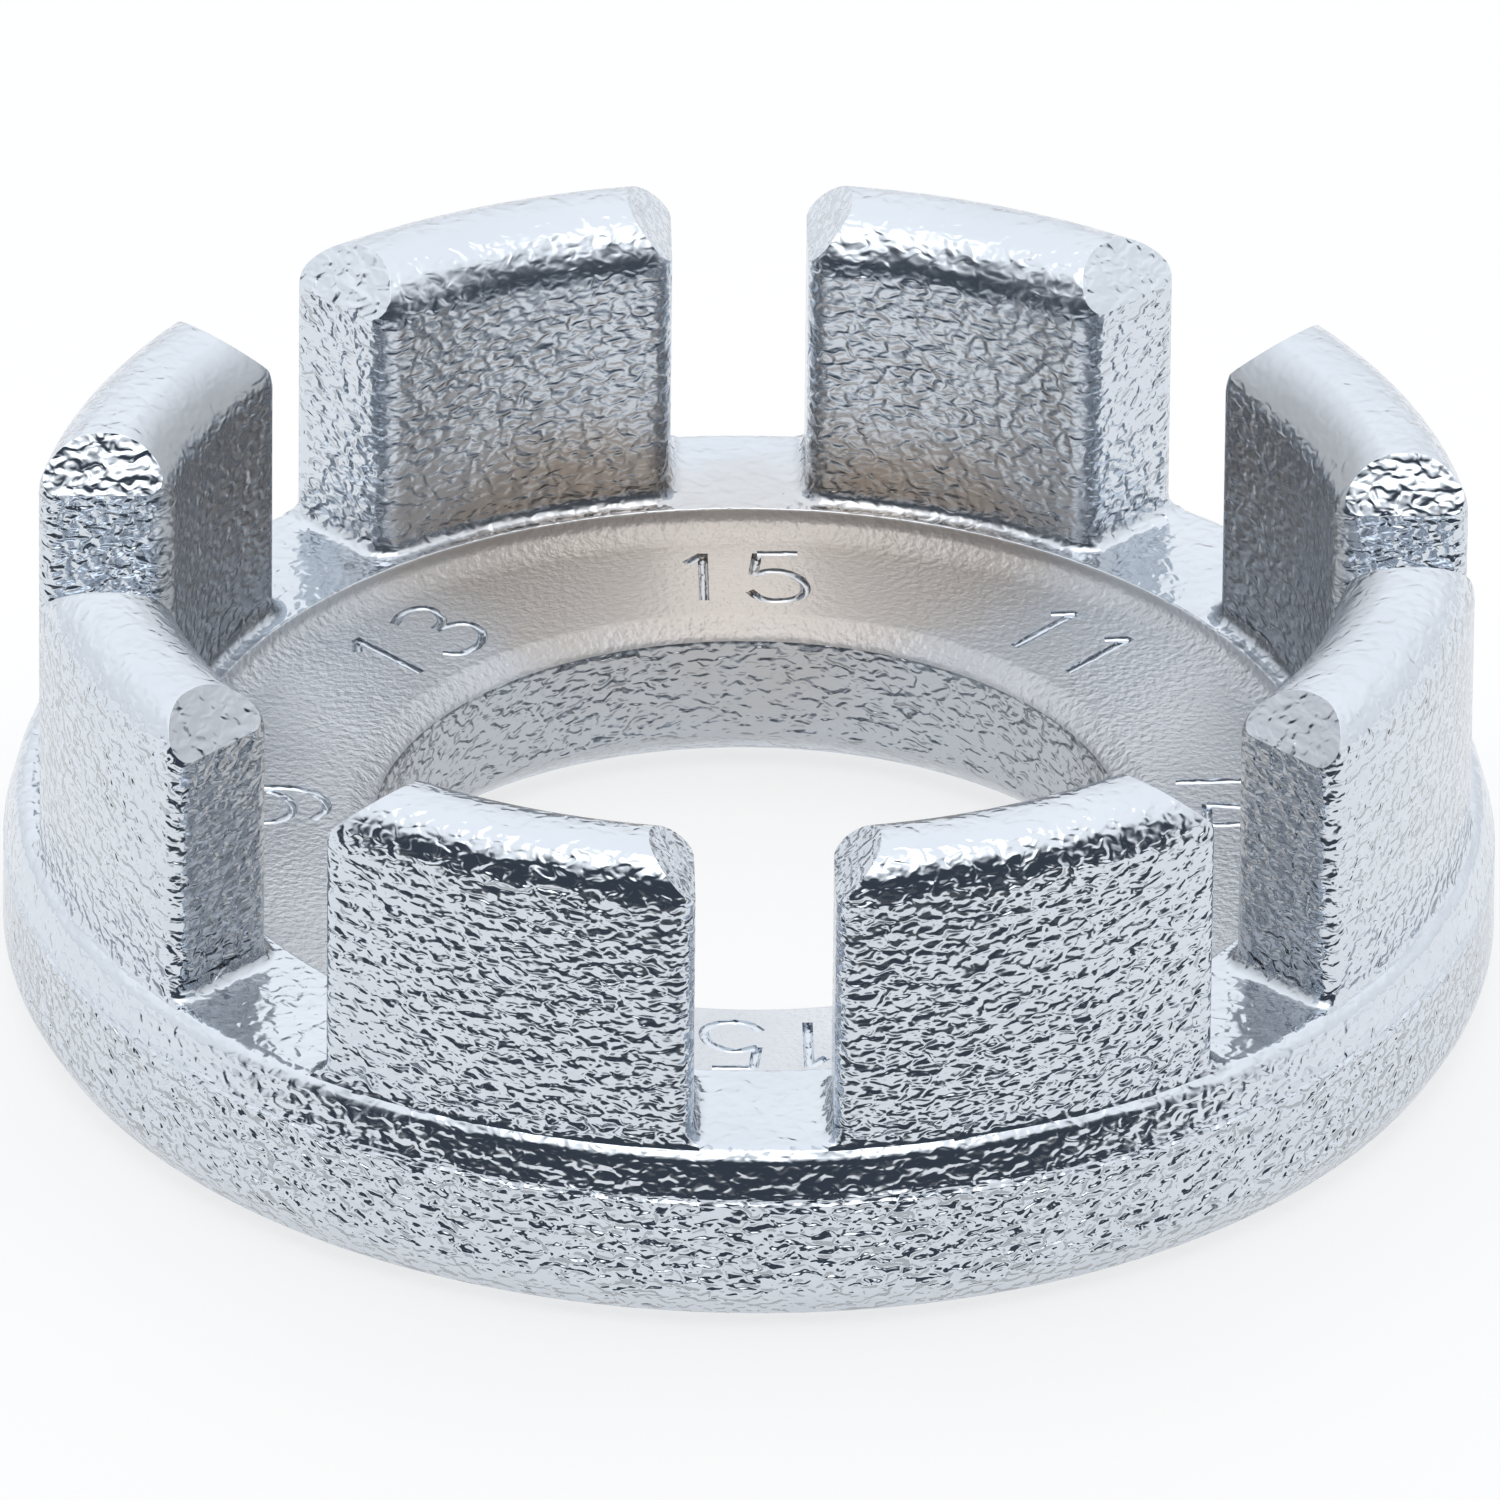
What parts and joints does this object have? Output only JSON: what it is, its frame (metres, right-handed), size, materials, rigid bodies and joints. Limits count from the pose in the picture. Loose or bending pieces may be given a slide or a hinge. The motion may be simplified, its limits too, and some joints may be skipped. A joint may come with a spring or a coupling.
{
  "type": "spoke wrench",
  "caption": "Round spoke wrench: a low cast steel ring with a crown of upstanding jaws, and slots of several widths between them that grip spoke nipples.",
  "frame": {"origin": "on the ring's axis, in the plane of its flat underside", "axes": "+Z along the ring's axis, out of the crown of jaws; +X along the mouth for 14 gauge nipples, +Y along a mouth for 15 gauge nipples"},
  "size_m": [0.038, 0.038, 0.0129],
  "materials": {
    "plated_cast_steel": "nickel plated cast steel with a fine cast ripple; the dish is turned, the slot walls are smoother"
  },
  "bodies": {
    "root": {"ring": "plated_cast_steel", "jaw_14_11": "plated_cast_steel", "jaw_11_15": "plated_cast_steel", "jaw_15_13": "plated_cast_steel", "jaw_13_9": "plated_cast_steel", "jaw_9_10": "plated_cast_steel", "jaw_10_15": "plated_cast_steel", "jaw_15_12": "plated_cast_steel", "jaw_12_14": "plated_cast_steel"}
  },
  "joints": []
}
